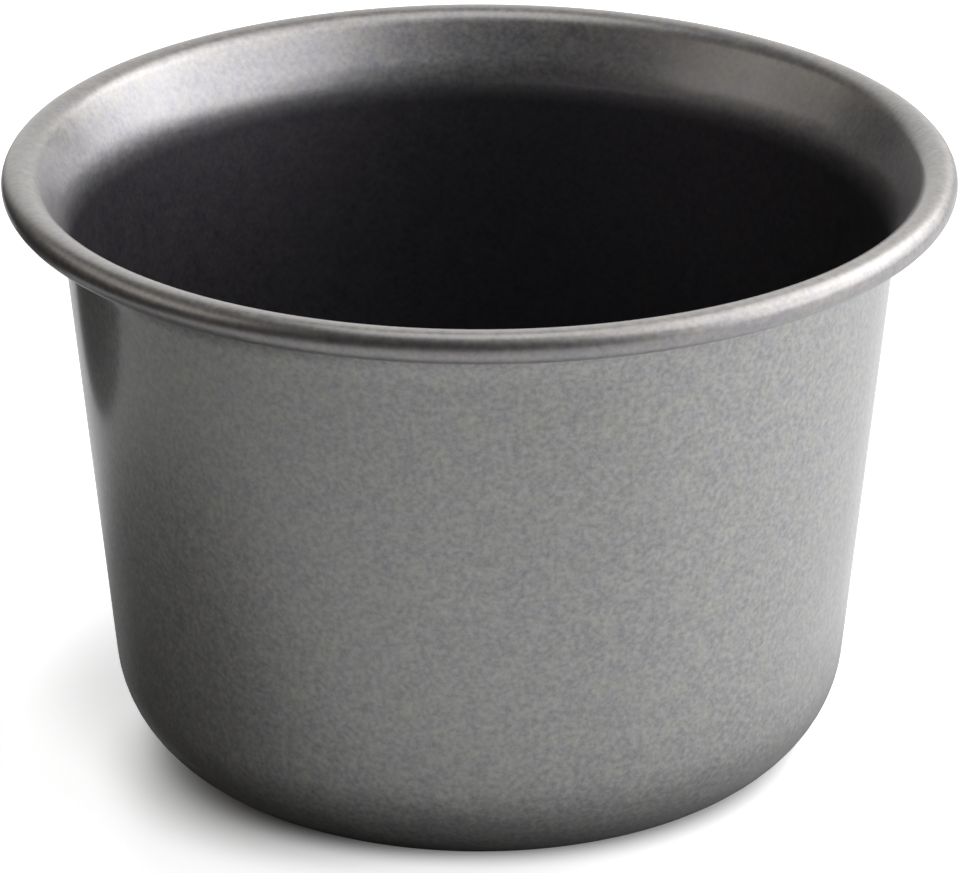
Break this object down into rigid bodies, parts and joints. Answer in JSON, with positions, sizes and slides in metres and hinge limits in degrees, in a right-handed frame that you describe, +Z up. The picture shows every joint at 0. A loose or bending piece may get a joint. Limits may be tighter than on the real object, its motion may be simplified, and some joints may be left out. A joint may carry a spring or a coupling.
{
  "type": "round cake pan",
  "caption": "Small deep round cake pan in grey non-stick steel: flat base, wide rounded corner, slightly tapered wall and flared mouth with a rolled bead.",
  "frame": {"origin": "centre of the base's underside, where the pan stands", "axes": "+Z up along the pan's axis of revolution, out of its mouth; X and Y are alike"},
  "size_m": [0.1, 0.1, 0.0664],
  "materials": {
    "nonstick_coating": "satin dark grey non-stick coating with fine metallic speckle, inside and out"
  },
  "bodies": {
    "root": {"pan_shell": "nonstick_coating"}
  },
  "joints": []
}
